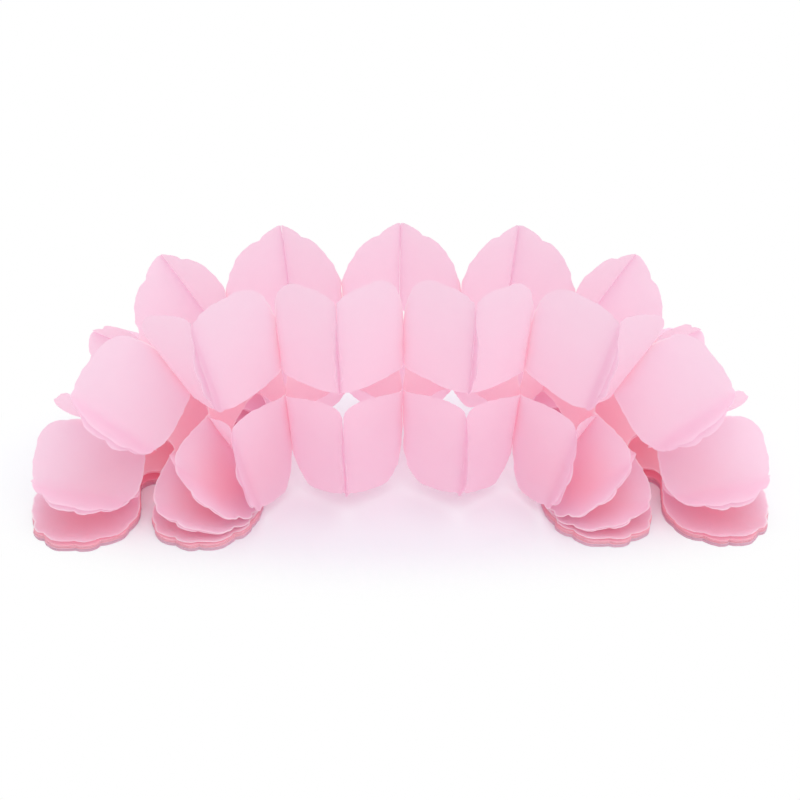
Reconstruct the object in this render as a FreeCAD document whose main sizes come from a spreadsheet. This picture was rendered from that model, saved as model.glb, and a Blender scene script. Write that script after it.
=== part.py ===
import FreeCAD, Part
import math
import os

# A honeycomb paper garland of clover-shaped tissue sheets, standing as an arch
# on its two closed ends.  X runs along the arch, Y is the depth, Z is up.
# Every flat sheet is measured by its depth (front to back) and its width
# (inner to outer edge of the arch), from the middle of the clover.

doc = FreeCAD.newDocument("clover_garland")

# name, millimetres or plain number, meaning
SIZES = [
    ("half_width", 84.0, "middle of a sheet to its inner or outer edge"),
    ("half_length", 110.3, "middle of a sheet to its front or back edge"),
    ("keyhole_radius", 10.4, "round end of the slit between two petals"),
    ("keyhole_middle", 38.0, "middle of the sheet to the middle of that round end"),
    ("side_notch_floor", 35.0, "middle of the sheet to the floor of a side notch"),
    ("root_glue", 36.5, "middle of the sheet to the inner glue lines"),
    ("tip_glue", 92.5, "middle of the sheet to the outer glue lines"),
    ("glue_width", 2.0, "width of a glue line"),
    ("bend_length", 12.0, "paper that bends beside a glue line, where a sheet leaves it"),
    ("paper", 0.3, "thickness of one sheet"),
    ("opening_reach", 80.0, "middle of a sheet to where its inner and outer openings are taken"),
    ("crown_inner_gap", 40.7, "opening of a pair at the crown, inner edge"),
    ("crown_outer_gap", 46.1, "opening of a pair at the crown, outer edge"),
    ("straight_count", 2.56, "sheets from the crown before the inner edges close"),
    ("straight_sharpness", 7.4, "how suddenly they close"),
    ("closing_power", 3.4, "how late the outer edges close"),
    ("opening_limit", 74.0, "opening at which a sheet would be fully drawn in"),
    ("crown_flare", 0.03, "share of the opening by which free rims part, at the crown"),
    ("foot_flare", 0.12, "the same beside the closed ends"),
    ("open_count", 9, "opened sheets on each side of the crown"),
    ("pad_height", 5.8, "closed sheets lying flat in each foot"),
]

book = doc.addObject("Spreadsheet::Sheet", "sizes")
for row, (name, value, meaning) in enumerate(SIZES, start=1):
    book.set("A%d" % row, name)
    book.set("B%d" % row, str(value))
    book.set("C%d" % row, meaning)
    book.setAlias("B%d" % row, name)
doc.recompute()


def size(name):
    return float(getattr(book, name))


halfWidth = size("half_width")
halfLength = size("half_length")
rootGlue = size("root_glue")
tipGlue = size("tip_glue")
glueWidth = size("glue_width")
bendLength = size("bend_length")
paper = size("paper")
openCount = int(size("open_count"))


# The clover, drawn flat.  Points are (across, along) from its middle.

# Notches between the scallops of a petal, from the slit to the side notch, and
# how far each scallop stands out between them.
frontPetal = (
    [(9.5, 88), (26, 103.8), (43, 108.8), (67, 98.3), (77, 84), (82.5, 66)],
    [4.2, 3.6, 5.4, 3.4, 1.6],
)
backPetal = (
    [(9.5, 88), (26, 103.8), (43, 108.8), (66, 98), (78, 91.5), (80.5, 81), (74.8, 71)],
    [4.2, 3.6, 5.0, 1.6, 0.8, 1.0],
)

# The smooth flank of a petal down to its root: broad in front, rounder behind.
frontFlank = [(83.6, 60), (82.2, 55.2), (76.5, 50.2), (67, 45.3), (57.5, 40.6)]
backFlank = [(74.2, 66), (72.6, 61.5), (69.2, 57), (64.5, 53), (57.5, 48.6), (50.5, 43.2)]
slitSide = [(8.9, 47.5), (7.6, 54), (6.1, 62), (4.9, 70), (5.4, 78), (7.3, 84)]


def drawn(points):
    """Points of the clover at its full size."""
    wide, deep = halfWidth / 84.0, halfLength / 110.3
    return [(across * wide, along * deep) for across, along in points]


def scallop(start, end, bulge):
    """An arc from notch to notch; bulge is its height over the chord."""
    across, along = end[0] - start[0], end[1] - start[1]
    share = bulge / math.hypot(across, along)
    top = ((start[0] + end[0]) / 2 - along * share, (start[1] + end[1]) / 2 + across * share)
    return "arc", [start, top, end]


def cloverQuarter(front):
    """Curves of one quarter, (kind, points), from the keyhole to the side notch."""
    radius = size("keyhole_radius")
    middle = size("keyhole_middle")
    lean = math.radians(20)
    neck = (radius * math.cos(lean), middle + radius * math.sin(lean))
    petal = frontPetal if front else backPetal
    notches = drawn(petal[0])
    curves = [
        ("arc", [(0, middle - radius), (radius, middle), neck]),
        ("smooth", [neck] + drawn(slitSide) + [notches[0]]),
    ]
    for start, end, bulge in zip(notches, notches[1:], petal[1]):
        curves.append(scallop(start, end, bulge))
    floor = size("side_notch_floor")
    shelf = rootGlue - glueWidth
    root = [(floor + 17, shelf + 3.5), (floor + 10, shelf + 1)] if front else [(floor + 10, shelf + 3)]
    root += [(floor + 5.5, shelf - 2), (floor + 2, shelf - 6.5), (floor + 0.5, 0.5 * shelf), (floor, 0)]
    curves.append(("smooth", [notches[-1]] + drawn(frontFlank if front else backFlank) + root))
    return curves


def cloverOutline():
    """All the curves of the clover in order, round its four quarters."""
    outline = []
    for widthSign, depthSign, forwards in ((1, 1, True), (1, -1, False), (-1, -1, True), (-1, 1, False)):
        run = cloverQuarter(depthSign < 0)
        for kind, points in run if forwards else reversed(run):
            placed = [(depthSign * along, widthSign * across) for across, along in points]
            if not forwards:
                placed.reverse()
            outline.append((kind, placed))
    return outline


def flatCurve(kind, points):
    """A curve in the plane of depth and width."""
    flat = [FreeCAD.Base.Vector2d(u, v) for u, v in points]
    if kind == "arc":
        return Part.Geom2d.ArcOfCircle2d(*flat)
    curve = Part.Geom2d.BSplineCurve2d()
    curve.interpolate(flat)
    return curve


# The arch: planes in which neighbouring sheets meet.

gapNumbers = [k + 0.5 for k in range(openCount)]
crownShare = [
    1 / (1 + (k / size("straight_count")) ** size("straight_sharpness")) for k in gapNumbers
]
closing = [1 - (k / openCount) ** size("closing_power") for k in gapNumbers]
innerGap = [size("crown_inner_gap") * h for h in crownShare]

# The outer gap past the crown makes the half arch turn exactly a quarter turn.
crownDifference = size("crown_outer_gap") - size("crown_inner_gap")
reach = size("opening_reach")
shoulderGap = math.pi * reach - crownDifference * sum(crownShare)
shoulderGap = shoulderGap / (sum(closing) - sum(crownShare))
outerGap = [
    shoulderGap * (g - h) + size("crown_outer_gap") * h for g, h in zip(closing, crownShare)
]
innerGap = [gap + paper for gap in innerGap]
outerGap = [gap + paper for gap in outerGap]

# Each plane is (x, z, turn); the turn is from upright at the crown to flat.
planes = [(0.0, 0.0, 0.0)]
pitch = []
for inner, outer in zip(innerGap, outerGap):
    x, z, turn = planes[-1]
    step = (inner + outer) / 2
    newTurn = turn + (outer - inner) / (2 * reach)
    middleTurn = (turn + newTurn) / 2
    planes.append((x + step * math.cos(middleTurn), z - step * math.sin(middleTurn), newTurn))
    pitch.append(step)

crownHeight = size("pad_height") - planes[-1][1]
beside = [pitch[0]] + [(a + b) / 2 for a, b in zip(pitch, pitch[1:])] + [pitch[-1] / 2]
drawnIn = [math.sqrt(1 - (w / size("opening_limit")) ** 2) for w in beside]


def onPlane(number, along, across, side, lift):
    """Point on a meeting plane; lift moves it off the plane, away from the crown."""
    x, z, turn = planes[number]
    px = x + across * math.sin(turn) + lift * math.cos(turn)
    pz = z + across * math.cos(turn) - lift * math.sin(turn)
    return FreeCAD.Vector(side * px, along, crownHeight + pz)


# One opened sheet.

beyondEdge = 2.0  # the surface runs this far past the outline


def stations(number):
    """Flat depth, glued plane, share off it, drawn depth, from front to back.

    On even planes the front inner and back outer glue lines meet, on odd
    planes the front outer and back inner ones.
    """
    odd = number if number % 2 else number - 1
    even = number - 1 if number % 2 else number
    flare = size("crown_flare")
    flare += (size("foot_flare") - flare) * number / openCount
    rows = []
    for sign, planeOfTip, planeOfRoot in ((-1, odd, even), (1, even, odd)):
        half = []
        drawnTip = tipGlue * drawnIn[planeOfTip]
        rim = halfLength + beyondEdge
        half.append((sign * rim, planeOfTip, flare, sign * (drawnTip + rim - tipGlue)))
        for glue, plane in ((tipGlue, planeOfTip), (rootGlue, planeOfRoot)):
            drawn = glue * drawnIn[plane]
            for offset in (glueWidth / 2, -glueWidth / 2):
                half.append((sign * (glue + offset), plane, 0.0, sign * (drawn + offset)))
        rows += half if sign < 0 else list(reversed(half))
    return rows


def waveCurve(number, side, across, outerFace):
    """Poles and knots of the wave of one face of a sheet at one width.

    The sheet lies flat along each glue line, bends over a short length beside
    it, and runs straight to the next bend.
    """
    points = []
    slopes = []
    knots = []
    flat = FreeCAD.Vector(0, 1, 0)
    inner = number - 1
    rimLength = halfLength + beyondEdge - tipGlue - glueWidth / 2
    for depth, plane, off, drawn in stations(number):
        share = 1 - off if plane == number else off
        near = onPlane(inner, drawn, across, side, paper if outerFace else 0.0)
        far = onPlane(number, drawn, across, side, 0.0 if outerFace else -paper)
        point = near * (1 - share) + far * share
        slope = flat
        if off:
            direction = 1 if plane == inner else -1
            if depth < 0:
                direction = -direction
            slope = flat + (far - near) * (direction * 2 * off / rimLength)
        elif knots and plane != lastPlane:
            length = depth - knots[-1]
            straight = (point - points[-1] - flat * bendLength) / (length - bendLength)
            bend = (flat + straight) * (bendLength / 2)
            points += [points[-1] + bend, point - bend]
            slopes += [straight, straight]
            knots += [knots[-1] + bendLength, depth - bendLength]
        points.append(point)
        slopes.append(slope)
        knots.append(depth)
        lastPlane = plane
    poles = [points[0]]
    for i in range(len(points) - 1):
        third = (knots[i + 1] - knots[i]) / 3
        poles.append(points[i] + slopes[i] * third)
        poles.append(points[i + 1] - slopes[i + 1] * third)
    poles.append(points[-1])
    return poles, knots


def waveSurface(number, side, outerFace):
    """A face of the sheet, parametrised by flat depth and flat width."""
    width = halfWidth + beyondEdge
    low, knots = waveCurve(number, side, -width, outerFace)
    high, knots = waveCurve(number, side, width, outerFace)
    counts = [4] + [2] * (len(knots) - 2) + [4]
    surface = Part.BSplineSurface()
    surface.buildFromPolesMultsKnots(
        [list(pair) for pair in zip(low, high)],
        counts, [2, 2], knots, [-width, width], False, False, 3, 1,
    )
    return surface


def openedSheet(number, side):
    """One sheet between two meeting planes, as a thin solid."""
    faces = []
    rims = []
    for outerFace in (False, True):
        surface = waveSurface(number, side, outerFace)
        edges = [flatCurve(kind, points).toShape(surface) for kind, points in cloverOutline()]
        face = Part.Face(surface, Part.Wire(edges))
        face.validate()
        faces.append(face)
        rims.append(edges)
    for edge, otherEdge in zip(*rims):
        faces.append(Part.makeRuledSurface(edge, otherEdge))
    shell = Part.makeShell(faces)
    shell.sewShape(0.01)
    solid = Part.Solid(shell if shell.ShapeType == "Shell" else shell.Shells[0])
    if solid.Volume < 0:
        solid.reverse()
    return solid


made = []
for side, sideName in ((-1, "left"), (1, "right")):
    for number in range(1, openCount + 1):
        piece = doc.addObject("Part::Feature", "%s_sheet_%d" % (sideName, number))
        piece.Shape = openedSheet(number, side)
        made.append(piece)

# The closed ends: flat stacks of the same clover.
plan = []
for kind, points in cloverOutline():
    spatial = [FreeCAD.Vector(across, along, 0) for along, across in points]
    if kind == "arc":
        plan.append(Part.Arc(*spatial).toShape())
    else:
        curve = Part.BSplineCurve()
        curve.interpolate(spatial)
        plan.append(curve.toShape())
for side, sideName in ((-1, "left"), (1, "right")):
    clover = doc.addObject("Part::Feature", "%s_clover_plan" % sideName)
    clover.Shape = Part.Face(Part.Wire(plan))
    clover.Placement.Base = FreeCAD.Vector(side * planes[-1][0], 0, 0)
    pad = doc.addObject("Part::Extrusion", "%s_pad" % sideName)
    pad.Base = clover
    pad.DirMode = "Custom"
    pad.Dir = FreeCAD.Vector(0, 0, 1)
    pad.Solid = True
    pad.setExpression("LengthFwd", "sizes.pad_height")
    made.append(pad)

doc.recompute()

os.makedirs("parts", exist_ok=True)
for piece in made:
    if "Invalid" in piece.State or "Error" in piece.State:
        raise RuntimeError("%s did not build" % piece.Label)
    if piece.Shape.isNull() or not piece.Shape.isValid():
        raise RuntimeError("%s is not a sound solid" % piece.Label)
for piece in made:
    piece.Shape.exportStep("parts/%s.step" % piece.Label)
    box = piece.Shape.BoundBox
    print("%-15s volume %8.1f  x %7.1f %7.1f  y %7.1f %7.1f  z %6.1f %6.1f" % (
        piece.Label, piece.Shape.Volume, box.XMin, box.XMax, box.YMin, box.YMax, box.ZMin, box.ZMax))
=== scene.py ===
import bpy
import math
from mathutils import Vector, Matrix, geometry, kdtree, noise


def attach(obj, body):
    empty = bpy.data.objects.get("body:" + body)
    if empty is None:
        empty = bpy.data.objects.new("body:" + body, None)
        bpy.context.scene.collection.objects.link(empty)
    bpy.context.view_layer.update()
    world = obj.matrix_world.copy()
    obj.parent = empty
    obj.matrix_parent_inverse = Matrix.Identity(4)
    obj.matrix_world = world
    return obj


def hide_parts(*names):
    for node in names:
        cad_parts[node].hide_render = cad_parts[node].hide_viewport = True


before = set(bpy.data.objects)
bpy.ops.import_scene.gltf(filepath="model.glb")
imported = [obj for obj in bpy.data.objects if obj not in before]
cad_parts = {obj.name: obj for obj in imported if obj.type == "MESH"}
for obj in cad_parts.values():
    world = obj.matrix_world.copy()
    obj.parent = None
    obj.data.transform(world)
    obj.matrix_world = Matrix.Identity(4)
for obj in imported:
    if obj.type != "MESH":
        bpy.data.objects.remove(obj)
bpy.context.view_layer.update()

print("frame loaded")

mm = 0.001  # lengths are in millimetres until they reach a mesh


def linear(hexColour, alpha=1.0):
    parts = [int(hexColour[i:i + 2], 16) / 255 for i in (1, 3, 5)]
    curve = [c / 12.92 if c <= 0.04045 else ((c + 0.055) / 1.055) ** 2.4 for c in parts]
    return (*curve, alpha)


# inputs are given in order or by name; a node stands for its first output
def addNode(tree, kind, inputs=(), **settings):
    node = tree.nodes.new(kind)
    for name, value in settings.items():
        setattr(node, name, value)
    keyed = inputs if isinstance(inputs, dict) else dict(enumerate(inputs))
    for key, value in keyed.items():
        if isinstance(value, bpy.types.Node):
            value = value.outputs[0]
        if isinstance(value, bpy.types.NodeSocket):
            tree.links.new(value, node.inputs[key])
        else:
            node.inputs[key].default_value = value
    return node


# one flat clover; width runs across the arch, depth front to back
clover = {
    "halfWidth": 84.0,
    "halfLength": 110.3,
    "keyholeRadius": 10.4,
    "keyholeMiddle": 38.0,
    "keyholeLean": 20.0,  # degrees past square, where the slit opens into it
    "sideNotchFloor": 35.0,
    "rootGlue": 36.5,
    "tipGlue": 92.5,
    "glueWidth": 2.0,
    "paper": 0.3,
    "slit": [(8.9, 47.5), (7.6, 54), (6.1, 62), (4.9, 70), (5.4, 78), (7.3, 84)],
    # notches between scallops, and how far the scallop after each stands out
    "frontPetal": [
        (9.5, 88, 4.2), (26, 103.8, 3.6), (43, 108.8, 5.4), (67, 98.3, 3.4),
        (77, 84, 1.6), (82.5, 66, 0),
    ],
    "backPetal": [
        (9.5, 88, 4.2), (26, 103.8, 3.6), (43, 108.8, 5.0), (66, 98, 1.6),
        (78, 91.5, 0.8), (80.5, 81, 1.0), (74.8, 71, 0),
    ],
    "frontFlank": [(83.6, 60), (82.2, 55.2), (76.5, 50.2), (67, 45.3), (57.5, 40.6)],
    "backFlank": [(74.2, 66), (72.6, 61.5), (69.2, 57), (64.5, 53), (57.5, 48.6), (50.5, 43.2)],
    # the side notch, from its floor and the near side of the inner glue line
    "frontNotch": [(17, 3.5), (10, 1), (5.5, -2), (2, -6.5)],
    "backNotch": [(10, 3), (5.5, -2), (2, -6.5)],
    "notchRounding": 0.5,
    "ragged": 0.85,  # the cut wanders this far off the drawn line
    "raggedLength": 9.0,
    "finerTimes": 3.1,  # and again on this many times finer a scale,
    "finerShare": 0.5,  # by this share
    "raggedSeed": 7,  # never 0, which takes the clock
    "edgeStep": 1.1,  # points along the cut edge
    "rimRows": (0.55, 1.5),  # rows of points this far inside it,
    "rimCrowding": 0.93,  # left out where a notch brings them nearer than this share
    "gridStep": 2.6,  # and over the rest of the sheet
    "gridClear": 0.4,  # steps between the rows and the grid
}


def cloverQuarter(front):
    end = "front" if front else "back"
    radius, middle = clover["keyholeRadius"], clover["keyholeMiddle"]
    lean = math.radians(clover["keyholeLean"])
    neck = (radius * math.cos(lean), middle + radius * math.sin(lean))
    petal = clover[end + "Petal"]
    curves = [
        ("arc", [(0, middle - radius), (radius, middle), neck]),
        ("smooth", [neck] + clover["slit"] + [petal[0][:2]]),
    ]
    for (x, y, bulge), (nextX, nextY, nextBulge) in zip(petal, petal[1:]):
        share = bulge / math.hypot(nextX - x, nextY - y)
        top = ((x + nextX) / 2 - (nextY - y) * share, (y + nextY) / 2 + (nextX - x) * share)
        curves.append(("arc", [(x, y), top, (nextX, nextY)]))
    floor = clover["sideNotchFloor"]
    shelf = clover["rootGlue"] - clover["glueWidth"]
    notch = [(floor + x, shelf + y) for x, y in clover[end + "Notch"]]
    notch += [(floor + clover["notchRounding"], shelf / 2), (floor, 0)]
    curves.append(("smooth", [petal[-1][:2]] + clover[end + "Flank"] + notch))
    return curves


def alongArc(points, step):
    start, middle, end = (Vector((*p, 0)) for p in points)
    toMiddle, toEnd = middle - start, end - start
    normal = toMiddle.cross(toEnd)
    if normal.length < 1e-9:
        return [tuple(start[:2]), tuple(end[:2])]
    across = normal.cross(toMiddle) * toEnd.length_squared
    across += toEnd.cross(normal) * toMiddle.length_squared
    centre = start + across / (2 * normal.length_squared)
    radius = (start - centre).length
    angle = math.atan2(start.y - centre.y, start.x - centre.x)
    turn = (math.atan2(end.y - centre.y, end.x - centre.x) - angle) % (2 * math.pi)
    if normal.z < 0:
        turn -= 2 * math.pi
    count = max(2, round(abs(turn) * radius / step))
    angles = [angle + turn * i / count for i in range(count + 1)]
    return [(centre.x + radius * math.cos(a), centre.y + radius * math.sin(a)) for a in angles]


# a smooth curve through points, free of loops where they are unevenly spaced
def alongSmooth(points, step):
    knots = [Vector(p) for p in points]
    knots = [2 * knots[0] - knots[1]] + knots + [2 * knots[-1] - knots[-2]]
    line = []
    for p0, p1, p2, p3 in zip(knots, knots[1:], knots[2:], knots[3:]):
        g0, g1, g2 = (max(1e-6, (b - a).length ** 0.5) for a, b in ((p0, p1), (p1, p2), (p2, p3)))
        out = ((p1 - p0) / g0 - (p2 - p0) / (g0 + g1) + (p2 - p1) / g1) * g1
        into = ((p2 - p1) / g1 - (p3 - p1) / (g1 + g2) + (p3 - p2) / g2) * g1
        count = max(2, round((p2 - p1).length / step))
        for i in range(count):
            t = i / count
            point = p1 * (2 * t**3 - 3 * t**2 + 1) + out * (t**3 - 2 * t**2 + t)
            point += p2 * (3 * t**2 - 2 * t**3) + into * (t**3 - t**2)
            line.append(tuple(point))
    line.append(tuple(knots[-2]))
    return line


# tissue is cut in thick books, so the edge is never quite the drawn line
def ragged(x, y):
    place = Vector((x, y, 0)) / clover["raggedLength"]
    finer = noise.noise_vector(place * clover["finerTimes"])
    wander = noise.noise_vector(place) + clover["finerShare"] * finer
    return x + clover["ragged"] * wander.x, y + clover["ragged"] * wander.y


def cloverOutline(step):
    outline = []
    for widthSign, depthSign in ((1, 1), (1, -1), (-1, -1), (-1, 1)):
        quarter = []
        for kind, points in cloverQuarter(depthSign < 0):
            run = alongArc(points, step) if kind == "arc" else alongSmooth(points, step)
            quarter += run[:-1]
        quarter.append(run[-1])
        placed = [(widthSign * w, depthSign * d) for w, d in quarter]
        if widthSign * depthSign < 0:
            placed.reverse()
        outline += placed[:-1]
    return [ragged(*point) for point in outline]


# the paper's own place on the flat clover, in metres, for its patterns
def addFlatMap(mesh):
    layer = mesh.uv_layers.new(name="flatPaper")
    for loop, item in zip(mesh.loops, layer.data):
        item.uv = mesh.vertices[loop.vertex_index].co.xy


def flatSheet(name):
    outline = [Vector(p) for p in cloverOutline(clover["edgeStep"])]
    count = len(outline)
    edge = kdtree.KDTree(count)
    for i, p in enumerate(outline):
        edge.insert((*p, 0), i)
    edge.balance()
    area = sum(a.x * b.y - b.x * a.y for a, b in zip(outline, outline[1:] + outline[:1])) / 2
    inwards = 1 if area > 0 else -1
    inner = []
    for inset in clover["rimRows"]:
        for i, p in enumerate(outline):
            along = (outline[(i + 1) % count] - outline[i - 1]).normalized()
            q = p + inwards * inset * Vector((-along.y, along.x))
            if edge.find((*q, 0))[2] > clover["rimCrowding"] * inset:
                inner.append(q)
    grid = clover["gridStep"]
    clear = clover["rimRows"][-1] + clover["gridClear"] * grid
    wide, deep = clover["halfWidth"], clover["halfLength"]
    rowShare = 0.866  # height of an even triangle
    for j in range(int(2 * deep / (grid * rowShare)) + 1):
        for i in range(int(2 * wide / grid) + 1):
            q = Vector((-wide + (i + 0.5 * (j % 2)) * grid, -deep + j * grid * rowShare))
            if edge.find((*q, 0))[2] > clear:
                inner.append(q)
    ring = outline if inwards > 0 else outline[::-1]
    verts, edges, faces, *rest = geometry.delaunay_2d_cdt(
        ring + inner, [], [list(range(count))], 1, 1e-5)
    mesh = bpy.data.meshes.new(name)
    mesh.from_pydata([(v.x * mm, v.y * mm, 0) for v in verts], [], faces)
    rimDistance = mesh.attributes.new("rimDistance", "FLOAT", "POINT")  # in millimetres
    for v, item in zip(verts, rimDistance.data):
        item.value = edge.find((*v, 0))[2]
    addFlatMap(mesh)
    return mesh, abs(area)


noise.seed_set(clover["raggedSeed"])
flat, flatArea = flatSheet("flatClover")
print("flat clover:", len(flat.polygons), "faces, area", round(flatArea), "mm2")

# how the sheets open along the arch, from the crown down to each closed end
arch = {
    "openCount": 9,
    "openingReach": 80.0,  # where on a sheet the inner and outer gaps are taken
    "crownInnerGap": 40.7,
    "crownOuterGap": 46.1,
    "straightCount": 2.56,  # sheets before the inner edges close
    "straightSharpness": 7.4,
    "closingPower": 3.4,  # how late the outer edges close
    "openingLimit": 74.0,  # a gap that would draw a sheet fully in
    "crownFlare": 0.03,  # share of the gap by which free rims part
    "footFlare": 0.12,
    "lastFlare": 0.4,  # the sheet on the closed stack springs off it at the rim
    "padHeight": 5.8,
    "bendLength": 12.0,  # paper that bends beside a glue line
    "pastRim": 2.0,  # free rims would be fully parted this far past the cut edge
    "ripple": 0.054,  # unevenness of hand-opened tissue, as a share of the gap
    "rippleScale": 22.0,  # waves in a metre of paper
    "curl": 4.4,  # lift of the rims, up or down
    "curlScale": 55.0,
    "curlDepth": 9.0,  # reaching this far in from the cut
    "curlRoom": 8.0,  # the curl is full where the gap is at least this wide
    "seedStep": 3.1,  # no two sheets alike
}

openCount = arch["openCount"]
numbers = [k + 0.5 for k in range(openCount)]
straight = [1 / (1 + (k / arch["straightCount"]) ** arch["straightSharpness"]) for k in numbers]
closing = [1 - (k / openCount) ** arch["closingPower"] for k in numbers]
innerGap = [arch["crownInnerGap"] * h for h in straight]
crownDifference = arch["crownOuterGap"] - arch["crownInnerGap"]
# each half turns a quarter circle by the time its edges have closed
shoulderGap = math.pi * arch["openingReach"] - crownDifference * sum(straight)
shoulderGap /= sum(closing) - sum(straight)
outerGap = [shoulderGap * (g - h) + arch["crownOuterGap"] * h for g, h in zip(closing, straight)]
planes = [(0.0, 0.0, 0.0)]  # x, z and turn of each plane where two sheets meet
pitch = []
for inner, outer in zip(innerGap, outerGap):
    x, z, turn = planes[-1]
    step = (inner + outer) / 2 + clover["paper"]
    newTurn = turn + (outer - inner) / (2 * arch["openingReach"])
    middleTurn = (turn + newTurn) / 2
    planes.append((x + step * math.cos(middleTurn), z - step * math.sin(middleTurn), newTurn))
    pitch.append(step)
crownHeight = arch["padHeight"] - planes[-1][1]
beside = [pitch[0]] + [(a + b) / 2 for a, b in zip(pitch, pitch[1:])] + [pitch[-1] / 2]
drawnIn = [math.sqrt(1 - (w / arch["openingLimit"]) ** 2) for w in beside]

# dyed tissue paper, wood pulp rolled out thin and uncoated: a pale bloom where light
# falls on it, deeper pink where light comes through or bounces between sheets
openTissue = {
    "face": "#F8F0FC",
    "cloudy": "#F6E8F8",
    "cloudSize": 11.0,
    "fibreSize": 1.6,
    "fibreDepth": 0.2,
    "fibreStrength": 0.12,
    "roughness": 0.72,
    "ior": 1.45,
    "specular": 0.25,
    "sheen": 0.1,
    "sheenRoughness": 0.5,
    "through": "#FFD2E0",  # light that has come through
    "throughShare": 0.48,
    "edgeThroughShare": 0.1,
    "paintedBounce": "#FFF1F4",  # painted warm bounce light in the middle of a sheet, inside the row
    "close": "#FFD2DC",  # painted shade and pink bounce light, where two sheets lie close
    "paintedNookShare": 0.8,
    "paintedNookInset": 30.0,
    "closeGap": 36.0,
    "valleyShare": 0.8,  # painted the same way down the front valleys
    "valleyWidth": 16.0,
    "cutEdge": "#FFFFFF",
    "cutEdgeWidth": 1.3,
}


def tissueMaterial(name, dye):
    material = bpy.data.materials.new(name)
    material.use_nodes = True
    tree = material.node_tree
    tree.nodes.clear()
    uv = addNode(tree, "ShaderNodeUVMap", uv_map="flatPaper")
    # uneven dye, which keeps a large petal from looking printed
    cloud = addNode(tree, "ShaderNodeTexNoise", {
        "Vector": uv, "Scale": 1000 / dye["cloudSize"], "Detail": 4.0, "Roughness": 0.6,
    })
    # felted fibres, a faint tooth under raking light, drawn coarser than real
    fibre = addNode(tree, "ShaderNodeTexNoise", {
        "Vector": uv, "Scale": 1000 / dye["fibreSize"], "Detail": 3.0, "Roughness": 0.65,
    })
    shade = addNode(tree, "ShaderNodeMix", {
        0: cloud, 6: linear(dye["face"]), 7: linear(dye["cloudy"]),
    }, data_type="RGBA")
    # painted warm bounce light, where the hearts of the sheets light each other inside the row
    paintedBounce = addNode(tree, "ShaderNodeAttribute", attribute_name="paintedBounce")
    shade = addNode(tree, "ShaderNodeMix", {
        0: paintedBounce.outputs["Fac"], 6: shade.outputs[2], 7: linear(dye["paintedBounce"]),
    }, data_type="RGBA")
    # painted shade and pink bounce light, deeper where sheets lie close together
    rim = addNode(tree, "ShaderNodeAttribute", attribute_name="rimDistance")
    close = addNode(tree, "ShaderNodeAttribute", attribute_name="paintedNookTint")
    inside = addNode(tree, "ShaderNodeMapRange", (
        rim.outputs["Fac"], 0.0, dye["paintedNookInset"], 0.0, dye["paintedNookShare"],
    ), interpolation_type="SMOOTHSTEP")
    deep = addNode(tree, "ShaderNodeMath", (close.outputs["Fac"], inside), operation="MULTIPLY")
    shade = addNode(tree, "ShaderNodeMix", {
        0: deep, 6: shade.outputs[2], 7: linear(dye["close"]),
    }, data_type="RGBA")
    # painted shade with cool light from the floor: the lower sheets of a stack a greyer mauve
    if "paintedLowShade" in dye:
        place = addNode(tree, "ShaderNodeTexCoord").outputs["Object"]
        height = addNode(tree, "ShaderNodeSeparateXYZ", (place,)).outputs[2]
        paintedLowShade = addNode(tree, "ShaderNodeMath", (
            height, dye["paintedLowShadeBelow"] * mm,
        ), operation="LESS_THAN")
        shade = addNode(tree, "ShaderNodeMix", {
            0: paintedLowShade, 6: shade.outputs[2], 7: linear(dye["paintedLowShade"]),
        }, data_type="RGBA")
        # each sheet of the stack a little deeper or paler than the next
        layerPitch = dye["layerPitch"] * mm
        layer = addNode(tree, "ShaderNodeMath", (height, layerPitch), operation="DIVIDE")
        layer = addNode(tree, "ShaderNodeMath", (layer,), operation="FLOOR")
        tone = addNode(tree, "ShaderNodeTexWhiteNoise", {"W": layer}, noise_dimensions="1D")
        tone = addNode(tree, "ShaderNodeMath", (tone, dye["layerTone"]), operation="MULTIPLY")
        shade = addNode(tree, "ShaderNodeMix", {
            0: tone, 6: shade.outputs[2], 7: linear(dye["through"]),
        }, data_type="RGBA")
    # cut rims catch the light as a thin pale line where they crowd together
    edge = addNode(tree, "ShaderNodeMapRange", (rim.outputs["Fac"], 0.0, dye["cutEdgeWidth"], 1.0, 0.0))
    edge = addNode(tree, "ShaderNodeMath", (edge, close.outputs["Fac"]), operation="MULTIPLY")
    shade = addNode(tree, "ShaderNodeMix", {
        0: edge, 6: shade.outputs[2], 7: linear(dye["cutEdge"]),
    }, data_type="RGBA")
    bump = addNode(tree, "ShaderNodeBump", {
        "Height": fibre, "Strength": dye["fibreStrength"], "Distance": dye["fibreDepth"] * mm,
    })
    front = addNode(tree, "ShaderNodeBsdfPrincipled", {
        "Base Color": shade.outputs[2], "Roughness": dye["roughness"], "IOR": dye["ior"],
        "Specular IOR Level": dye["specular"], "Sheen Weight": dye["sheen"],
        "Sheen Roughness": dye["sheenRoughness"], "Normal": bump,
    })
    through = addNode(tree, "ShaderNodeBsdfTranslucent", {
        "Color": linear(dye["through"]), "Normal": bump,
    })
    share = addNode(tree, "ShaderNodeMapRange", (
        edge, 0.0, 1.0, dye["throughShare"], dye["edgeThroughShare"],
    ))
    both = addNode(tree, "ShaderNodeMixShader", (share, front, through))
    addNode(tree, "ShaderNodeOutputMaterial", (both,))
    return material


openPaper = tissueMaterial("dyedTissueOpen", openTissue)
print("open paper mixed")


def newTree(name, sockets):
    tree = bpy.data.node_groups.new(name, "GeometryNodeTree")
    for way in ("INPUT", "OUTPUT"):
        tree.interface.new_socket("Geometry", in_out=way, socket_type="NodeSocketGeometry")
    for kind, names in sockets:
        for socketName in names.split():
            tree.interface.new_socket(socketName, in_out="INPUT", socket_type="NodeSocket" + kind)
    return tree, addNode(tree, "NodeGroupInput").outputs


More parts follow.
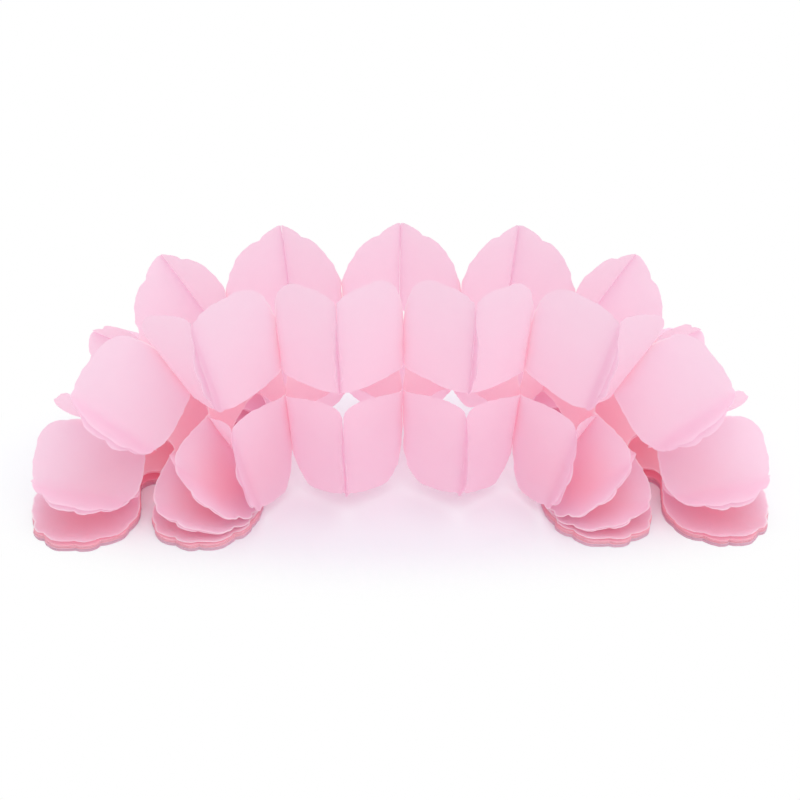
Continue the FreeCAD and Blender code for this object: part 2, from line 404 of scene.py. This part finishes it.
# a flat sheet stretched between the two planes in which it meets its neighbours
def openedSheetTree():
    tree, given = newTree("openedSheet", [
        ("Vector", "nearPoint nearOutward farPoint farOutward"),
        ("Float", "frontRootShift frontTipShift backRootShift backTipShift"),
        ("Float", "rootGlue tipGlue halfGlueWidth bendLength rimEnd flare flip"),
        ("Float", "ripple rippleScale curl curlScale curlDepth curlRoom seed"),
        ("Float", "closeGap valleyShare valleyWidth"),
        ("Material", "paper"),
    ])
    maths = "ShaderNodeMath"
    vectors = "ShaderNodeVectorMath"
    ranged = "ShaderNodeMapRange"

    # the height of a slope that starts with a short bend
    def rise(run):
        bend = given["bendLength"]
        bent = addNode(tree, "ShaderNodeClamp", (run, 0.0, bend))
        bent = addNode(tree, maths, (bent, bent), operation="MULTIPLY")
        twice = addNode(tree, maths, (bend, 2.0), operation="MULTIPLY")
        bent = addNode(tree, maths, (bent, twice), operation="DIVIDE")
        beyond = addNode(tree, maths, (run, bend), operation="SUBTRACT")
        beyond = addNode(tree, maths, (beyond, 0.0), operation="MAXIMUM")
        return addNode(tree, maths, (bent, beyond), operation="ADD")

    # 0 to 1, straight but for a short bend at each end
    def slope(value, low, high):
        run = addNode(tree, maths, (high, low), operation="SUBTRACT")
        run = addNode(tree, maths, (run, given["bendLength"]), operation="SUBTRACT")
        start = addNode(tree, maths, (value, low), operation="SUBTRACT")
        end = addNode(tree, maths, (start, run), operation="SUBTRACT")
        both = addNode(tree, maths, (rise(start), rise(end)), operation="SUBTRACT")
        return addNode(tree, maths, (both, run), operation="DIVIDE")

    flatPlace = addNode(tree, "GeometryNodeInputPosition")
    width, depth, height = addNode(tree, "ShaderNodeSeparateXYZ", (flatPlace,)).outputs
    reach = addNode(tree, maths, (depth,), operation="ABSOLUTE")
    end = addNode(tree, maths, (depth,), operation="SIGN")
    half = given["halfGlueWidth"]
    rootInside = addNode(tree, maths, (given["rootGlue"], half), operation="SUBTRACT")
    rootOutside = addNode(tree, maths, (given["rootGlue"], half), operation="ADD")
    tipInside = addNode(tree, maths, (given["tipGlue"], half), operation="SUBTRACT")
    tipOutside = addNode(tree, maths, (given["tipGlue"], half), operation="ADD")
    frontRoot = addNode(tree, maths, (rootInside, -1.0), operation="MULTIPLY")
    # share of the way from the near plane to the far one
    middle = slope(depth, frontRoot, rootInside)
    petal = slope(reach, rootOutside, tipInside)
    free = addNode(tree, ranged, (reach, tipOutside, given["rimEnd"]))
    parting = addNode(tree, maths, (free, free), operation="MULTIPLY")
    parting = addNode(tree, maths, (parting, given["flare"]), operation="MULTIPLY")
    back = addNode(tree, maths, (parting, petal), operation="SUBTRACT")
    share = addNode(tree, maths, (end, back, middle), operation="MULTIPLY_ADD")
    other = addNode(tree, maths, (1.0, share), operation="SUBTRACT")
    share = addNode(tree, "ShaderNodeMix", {0: given["flip"], 2: share, 3: other}, data_type="FLOAT")

    # depth drawn in at each glue line
    frontPull = (given["frontTipShift"], given["frontRootShift"])
    frontPull = addNode(tree, maths, frontPull, operation="SUBTRACT")
    backPull = (given["backTipShift"], given["backRootShift"])
    backPull = addNode(tree, maths, backPull, operation="SUBTRACT")
    behind = addNode(tree, maths, (depth, 0.0), operation="GREATER_THAN")
    pull = addNode(tree, "GeometryNodeSwitch", (behind, frontPull, backPull), input_type="FLOAT")
    rootPull = (given["backRootShift"], given["frontRootShift"])
    rootPull = addNode(tree, maths, rootPull, operation="SUBTRACT")
    rootPull = addNode(tree, maths, (rootPull, middle, given["frontRootShift"]), operation="MULTIPLY_ADD")
    shift = addNode(tree, maths, (pull, petal, rootPull), operation="MULTIPLY_ADD")
    along = addNode(tree, maths, (depth, shift), operation="ADD")
    along = addNode(tree, "ShaderNodeCombineXYZ", (0.0, along, 0.0))
    near = addNode(tree, vectors, {0: given["nearOutward"], "Scale": width}, operation="SCALE")
    near = addNode(tree, vectors, (given["nearPoint"], near), operation="ADD")
    far = addNode(tree, vectors, {0: given["farOutward"], "Scale": width}, operation="SCALE")
    far = addNode(tree, vectors, (given["farPoint"], far), operation="ADD")
    across = addNode(tree, "ShaderNodeMix", {0: share, 4: near, 5: far}, data_type="VECTOR")
    place = addNode(tree, vectors, (across.outputs[1], along), operation="ADD")
    gapWay = addNode(tree, vectors, (far, near), operation="SUBTRACT")
    gap = addNode(tree, vectors, (gapWay,), operation="LENGTH").outputs["Value"]

    # uneven bulge, none at the glue lines
    loose = addNode(tree, maths, (1.0, share), operation="SUBTRACT")
    loose = addNode(tree, maths, (share, loose), operation="MULTIPLY")
    loose = addNode(tree, maths, (loose, 4.0), operation="MULTIPLY")
    wave = addNode(tree, "ShaderNodeTexNoise", {
        "Vector": flatPlace, "W": given["seed"], "Scale": given["rippleScale"], "Detail": 1.0,
    }, noise_dimensions="4D")
    bulge = addNode(tree, maths, (wave, 0.5), operation="SUBTRACT")
    bulge = addNode(tree, maths, (bulge, given["ripple"]), operation="MULTIPLY")
    bulge = addNode(tree, maths, (bulge, loose), operation="MULTIPLY")
    # rims curl a little up or down, less where the sheets lie close
    rim = addNode(tree, "GeometryNodeInputNamedAttribute", {"Name": "rimDistance"}, data_type="FLOAT")
    rimShare = addNode(tree, ranged, (
        rim, 0.0, given["curlDepth"], 1.0, 0.0,
    ), interpolation_type="SMOOTHSTEP")
    wave = addNode(tree, "ShaderNodeTexNoise", {
        "Vector": flatPlace, "W": given["seed"], "Scale": given["curlScale"], "Detail": 1.5,
    }, noise_dimensions="4D")
    curl = addNode(tree, maths, (wave, 0.5), operation="SUBTRACT")
    curl = addNode(tree, maths, (curl, given["curl"]), operation="MULTIPLY")
    curl = addNode(tree, maths, (curl, rimShare), operation="MULTIPLY")
    room = addNode(tree, maths, (gap, given["curlRoom"]), operation="MAXIMUM")
    curl = addNode(tree, maths, (curl, room), operation="DIVIDE")
    lift = addNode(tree, maths, (bulge, curl), operation="ADD")
    lift = addNode(tree, vectors, {0: gapWay, "Scale": lift}, operation="SCALE")
    place = addNode(tree, vectors, (place, lift), operation="ADD")

    # where the paper lies close to its neighbour, for its painted shade and bounce light, and where it is
    # the heart of the sheet, for its painted warm bounce light
    close = addNode(tree, ranged, (
        gap, 0.0, given["closeGap"], 1.0, 0.0,
    ), interpolation_type="SMOOTHSTEP")
    fromRoot = addNode(tree, maths, (reach, given["rootGlue"]), operation="SUBTRACT")
    fromRoot = addNode(tree, maths, (fromRoot,), operation="ABSOLUTE")
    valley = addNode(tree, ranged, (
        fromRoot, 0.0, given["valleyWidth"], given["valleyShare"], 0.0,
    ), interpolation_type="SMOOTHSTEP")
    before = addNode(tree, maths, (depth, 0.0), operation="LESS_THAN")
    valley = addNode(tree, maths, (valley, before), operation="MULTIPLY")
    close = addNode(tree, maths, (close, valley), operation="MAXIMUM")
    paintedBounceEnd = addNode(tree, maths, (given["rootGlue"], given["bendLength"]), operation="ADD")
    paintedBounce = addNode(tree, ranged, (
        reach, rootInside, paintedBounceEnd, 1.0, 0.0,
    ), interpolation_type="SMOOTHSTEP")
    sheet = given["Geometry"]
    for name, value in (("paintedNookTint", close), ("paintedBounce", paintedBounce)):
        sheet = addNode(tree, "GeometryNodeStoreNamedAttribute", {
            "Geometry": sheet, "Name": name, "Value": value,
        }, data_type="FLOAT", domain="POINT")
    sheet = addNode(tree, "GeometryNodeSetPosition", {"Geometry": sheet, "Position": place})
    sheet = addNode(tree, "GeometryNodeSetShadeSmooth", (sheet,))
    sheet = addNode(tree, "GeometryNodeRealizeInstances", (sheet,))
    sheet = addNode(tree, "GeometryNodeSetMaterial", {"Geometry": sheet, "Material": given["paper"]})
    addNode(tree, "NodeGroupOutput", (sheet,))
    return tree


def shaped(name, mesh, tree, values):
    maker = bpy.data.objects.new(name + "Maker", mesh)
    bpy.context.collection.objects.link(maker)
    modifier = maker.modifiers.new(tree.name, "NODES")
    modifier.node_group = tree
    inputs = [item for item in tree.interface.items_tree if item.in_out == "INPUT"]
    identifiers = {item.name: item.identifier for item in inputs}
    for key, value in values.items():
        modifier[identifiers[key]] = value
    maker.update_tag()
    bpy.context.view_layer.update()
    evaluated = maker.evaluated_get(bpy.context.evaluated_depsgraph_get())
    result = bpy.data.meshes.new_from_object(evaluated)
    maker.modifiers.remove(modifier)
    bpy.data.objects.remove(maker)
    result.name = name
    piece = bpy.data.objects.new(name, result)
    bpy.context.collection.objects.link(piece)
    return piece


def meetingPlane(number, side, lift):
    x, z, turn = planes[number]
    outward = Vector((side * math.sin(turn), 0, math.cos(turn)))
    x += lift * math.cos(turn)
    z -= lift * math.sin(turn)
    return Vector((side * x, 0, crownHeight + z)) * mm, outward


# even planes are glued at the front root and back tip, odd ones at the other two lines
def sheetValues(number, side):
    odd = number if number % 2 else number - 1
    even = number - 1 if number % 2 else number
    nearPoint, nearOutward = meetingPlane(number - 1, side, clover["paper"] / 2)
    farPoint, farOutward = meetingPlane(number, side, -clover["paper"] / 2)
    flareRise = arch["footFlare"] - arch["crownFlare"]
    flare = arch["crownFlare"] + flareRise * number / openCount
    return {
        "nearPoint": nearPoint,
        "nearOutward": nearOutward,
        "farPoint": farPoint,
        "farOutward": farOutward,
        "frontRootShift": clover["rootGlue"] * (1 - drawnIn[even]) * mm,
        "frontTipShift": clover["tipGlue"] * (1 - drawnIn[odd]) * mm,
        "backRootShift": -clover["rootGlue"] * (1 - drawnIn[odd]) * mm,
        "backTipShift": -clover["tipGlue"] * (1 - drawnIn[even]) * mm,
        "rootGlue": clover["rootGlue"] * mm,
        "tipGlue": clover["tipGlue"] * mm,
        "halfGlueWidth": clover["glueWidth"] / 2 * mm,
        "bendLength": arch["bendLength"] * mm,
        "rimEnd": (clover["halfLength"] + arch["pastRim"]) * mm,
        "flare": arch["lastFlare"] if number == openCount else flare,
        "flip": 0.0 if number % 2 else 1.0,
        "ripple": arch["ripple"],
        "rippleScale": arch["rippleScale"],
        "curl": arch["curl"] * mm,
        "curlScale": arch["curlScale"],
        "curlDepth": arch["curlDepth"],  # millimetres, as rimDistance is
        "curlRoom": arch["curlRoom"] * mm,
        "closeGap": openTissue["closeGap"] * mm,
        "valleyShare": openTissue["valleyShare"],
        "valleyWidth": openTissue["valleyWidth"] * mm,
        "seed": arch["seedStep"] * number + side,
        "paper": openPaper,
    }


sheetTree = openedSheetTree()
for side, sideName in ((-1, "left"), (1, "right")):
    for number in range(1, openCount + 1):
        name = "%s_clover_%d" % (sideName, number)
        piece = shaped(name, flat, sheetTree, sheetValues(number, side))
        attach(piece, "root")
        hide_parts("%s_sheet_%d" % (sideName, number))
print("opened sheets made")


# the closed sheets of one foot
footStack = {
    "sheetCount": 30,
    "height": 4.5,  # the rest is air under the first opened sheet
    "bottom": 0.05,  # clear of the floor
    "paperShare": 0.9,  # of each sheet's room
    "edgeStep": 1.8,
    "lowCount": 17,  # the lower sheets, painted in a greyer shaded tone and pushed out by this share
    "spread": 0.007,
    "slip": 0.25,  # how far sheets sit off each other
    "twist": 0.2,  # degrees
    "rimDistance": 0.6,  # every point counts as cut edge, on closely packed paper
    # the whole stack counts as lying close, for its painted shade and bounce light
    "paintedNookTint": 1.0,
    "seed": 4,
}
sheetPitch = footStack["height"] / footStack["sheetCount"]
# the same tissue pressed flat, where forty sheets show their full dye, the lowest painted a greyer mauve
# for shade and cool light from the floor
packedTissue = {
    **openTissue,
    "face": "#FFC6D4",
    "cloudy": "#FFBCCC",
    "cutEdge": "#FFDCE8",
    "through": "#FFBECC",
    "throughShare": 0.25,
    "paintedLowShade": "#DFC3DC",
    "paintedLowShadeBelow": footStack["lowCount"] * sheetPitch,
    "layerTone": 0.25,
    "layerPitch": sheetPitch,
}


# thin sheets laid on each other, none quite square to the next
def closedStackTree():
    tree, given = newTree("closedStack", [
        ("Int", "count seed"),
        ("Float", "pitch slip twist spread lowCount"),
        ("Vector", "bottom"),
        ("Material", "paper"),
    ])
    maths = "ShaderNodeMath"
    up = addNode(tree, "ShaderNodeCombineXYZ", (0.0, 0.0, given["pitch"]))
    line = addNode(tree, "GeometryNodeMeshLine", {
        "Count": given["count"], "Start Location": given["bottom"], "Offset": up,
    })
    stack = addNode(tree, "GeometryNodeInstanceOnPoints", {"Points": line, "Instance": given["Geometry"]})
    chances = []
    for way, amount in (((1.0, 1.0, 0.0), "slip"), ((0.0, 0.0, 1.0), "twist")):
        low = addNode(tree, "ShaderNodeVectorMath", {
            0: [-w for w in way], "Scale": given[amount],
        }, operation="SCALE")
        high = addNode(tree, "ShaderNodeVectorMath", {0: way, "Scale": given[amount]}, operation="SCALE")
        chances.append(addNode(tree, "FunctionNodeRandomValue", {
            "Min": low, "Max": high, "Seed": given["seed"],
        }, data_type="FLOAT_VECTOR"))
    slid, turned = chances
    stack = addNode(tree, "GeometryNodeTranslateInstances", {"Instances": stack, "Translation": slid})
    stack = addNode(tree, "GeometryNodeRotateInstances", {"Instances": stack, "Rotation": turned})
    # the lower sheets are pushed out a little under the rest
    layer = addNode(tree, "GeometryNodeInputIndex")
    low = addNode(tree, maths, (layer, given["lowCount"]), operation="LESS_THAN")
    larger = addNode(tree, maths, (low, given["spread"], 1.0), operation="MULTIPLY_ADD")
    size = addNode(tree, "ShaderNodeCombineXYZ", (larger, larger, 1.0))
    stack = addNode(tree, "GeometryNodeScaleInstances", {"Instances": stack, "Scale": size})
    stack = addNode(tree, "GeometryNodeRealizeInstances", (stack,))
    stack = addNode(tree, "GeometryNodeSetMaterial", {"Geometry": stack, "Material": given["paper"]})
    addNode(tree, "NodeGroupOutput", (stack,))
    return tree


def slab(name, thickness):
    ring = cloverOutline(footStack["edgeStep"])
    count = len(ring)
    verts = [(x * mm, y * mm, z * mm) for z in (0, thickness) for x, y in ring]
    faces = [tuple(range(count))[::-1], tuple(range(count, 2 * count))]
    faces += [(i, (i + 1) % count, count + (i + 1) % count, count + i) for i in range(count)]
    mesh = bpy.data.meshes.new(name)
    mesh.from_pydata(verts, [], faces)
    for attribute in ("rimDistance", "paintedNookTint"):
        values = mesh.attributes.new(attribute, "FLOAT", "POINT").data
        values.foreach_set("value", [footStack[attribute]] * len(verts))
    addFlatMap(mesh)
    return mesh


stackPaper = tissueMaterial("dyedTissuePacked", packedTissue)
stackTree = closedStackTree()
oneSlab = slab("closedSheet", sheetPitch * footStack["paperShare"])
for side, sideName in ((-1, "left"), (1, "right")):
    piece = shaped("%s_stack" % sideName, oneSlab, stackTree, {
        "count": footStack["sheetCount"],
        "pitch": sheetPitch * mm,
        "bottom": Vector((side * planes[-1][0], 0, footStack["bottom"])) * mm,
        "slip": footStack["slip"] * mm,
        "twist": math.radians(footStack["twist"]),
        "spread": footStack["spread"],
        "lowCount": float(footStack["lowCount"]),
        "seed": footStack["seed"] + side,
        "paper": stackPaper,
    })
    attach(piece, "root")
    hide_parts("%s_pad" % sideName)
print("foot stacks made")

# a white paper sweep under two soft lamps, in metres
stage = {
    "halfFloor": 8.0,
    "floor": "#F8F5FA",
    "floorSeen": "#EFF3F8",  # seen directly, a little cooler beside pink
    "floorWhite": 0.1,  # share of plain white under the object
    "shadowOval": (0.45, 1.0, 0.0),
    "shadowReach": (0.1, 0.17),  # the shadow fades out between these
    "sky": "#FFFFFF",
    "skyStrength": 0.77,
    "lamp": "#FFFFFF",
    # name, place, aim, size and power
    "lamps": [
        ("overhead", (0.25, -0.65, 1.38), (0, 0, 0.05), (1.8, 1.4), 8.0),
        ("behind", (0.0, 0.7, 1.1), (0, 0, 0.1), (1.8, 0.8), 4.3),
    ],
}

reach = stage["halfFloor"]
floorMesh = bpy.data.meshes.new("floor")
corners = [(-reach, -reach, 0), (reach, -reach, 0), (reach, reach, 0), (-reach, reach, 0)]
floorMesh.from_pydata(corners, [], [(0, 1, 2, 3)])
floor = bpy.data.objects.new("floor", floorMesh)
bpy.context.collection.objects.link(floor)
floorMaterial = bpy.data.materials.new("paperSweep")
floorMaterial.use_nodes = True
tree = floorMaterial.node_tree
tree.nodes.clear()
seen = addNode(tree, "ShaderNodeLightPath").outputs["Is Camera Ray"]
tone = addNode(tree, "ShaderNodeMix", {
    0: seen, 6: linear(stage["floor"]), 7: linear(stage["floorSeen"]),
}, data_type="RGBA")
matt = addNode(tree, "ShaderNodeBsdfDiffuse", (tone.outputs[2],))
white = addNode(tree, "ShaderNodeEmission", ((1, 1, 1, 1), 1.0))
# the shadow fades out a hand's width from the paper, on to plain white
place = addNode(tree, "ShaderNodeTexCoord").outputs["Object"]
oval = addNode(tree, "ShaderNodeVectorMath", (place, stage["shadowOval"]), operation="MULTIPLY")
away = addNode(tree, "ShaderNodeVectorMath", (oval,), operation="LENGTH").outputs["Value"]
fade = addNode(tree, "ShaderNodeMapRange", (
    away, *stage["shadowReach"], stage["floorWhite"], 1.0,
), interpolation_type="SMOOTHSTEP")
fade = addNode(tree, "ShaderNodeMath", (seen, fade), operation="MULTIPLY")
sweep = addNode(tree, "ShaderNodeMixShader", (fade, matt, white))
addNode(tree, "ShaderNodeOutputMaterial", (sweep,))
floor.data.materials.append(floorMaterial)

world = bpy.data.worlds.new("studioWorld")
bpy.context.scene.world = world
world.use_nodes = True
tree = world.node_tree
tree.nodes.clear()
# past the floor the room is plain white
seen = addNode(tree, "ShaderNodeLightPath").outputs["Is Camera Ray"]
level = addNode(tree, "ShaderNodeMath", (
    seen, 1 - stage["skyStrength"], stage["skyStrength"],
), operation="MULTIPLY_ADD")
sky = addNode(tree, "ShaderNodeBackground", (linear(stage["sky"]), level))
addNode(tree, "ShaderNodeOutputWorld", (sky,))

for name, place, aim, size, power in stage["lamps"]:
    lamp = bpy.data.lights.new(name, "AREA")
    lamp.shape = "RECTANGLE"
    lamp.size, lamp.size_y = size
    lamp.energy = power
    lamp.color = linear(stage["lamp"])[:3]
    holder = bpy.data.objects.new(name, lamp)
    holder.location = place
    holder.rotation_euler = (Vector(aim) - Vector(place)).to_track_quat("-Z", "Y").to_euler()
    bpy.context.collection.objects.link(holder)

view = {
    "fieldDegrees": 40.87,
    "distance": 827.0,
    "lookDown": 29.9,
    "lookAside": 1.78,
    "roll": 0.63,
    "lookAt": (-1.1, 0.0, 57.9),
}

camera = bpy.data.cameras.new("camera")
camera.lens = camera.sensor_width / 2 / math.tan(math.radians(view["fieldDegrees"] / 2))
camera.clip_start, camera.clip_end = 0.01, 50
down, aside, roll = (math.radians(view[k]) for k in ("lookDown", "lookAside", "roll"))
forward = Vector((math.sin(aside), math.cos(aside), 0)) * math.cos(down)
forward.z = -math.sin(down)
levelRight = Vector((math.cos(aside), -math.sin(aside), 0))
levelUp = levelRight.cross(forward)
right = levelRight * math.cos(roll) + levelUp * math.sin(roll)
up = levelUp * math.cos(roll) - levelRight * math.sin(roll)
eye = bpy.data.objects.new("camera", camera)
eye.matrix_world = Matrix((right, up, -forward)).transposed().to_4x4()
eye.location = (Vector(view["lookAt"]) - forward * view["distance"]) * mm
bpy.context.collection.objects.link(eye)
bpy.context.scene.camera = eye
bpy.context.scene.view_settings.view_transform = "Standard"
# pale thin paper hands the light on many times before it is lost
cycles = bpy.context.scene.cycles
cycles.max_bounces = 20
cycles.diffuse_bounces = 14
cycles.transmission_bounces = 16
print("studio made")
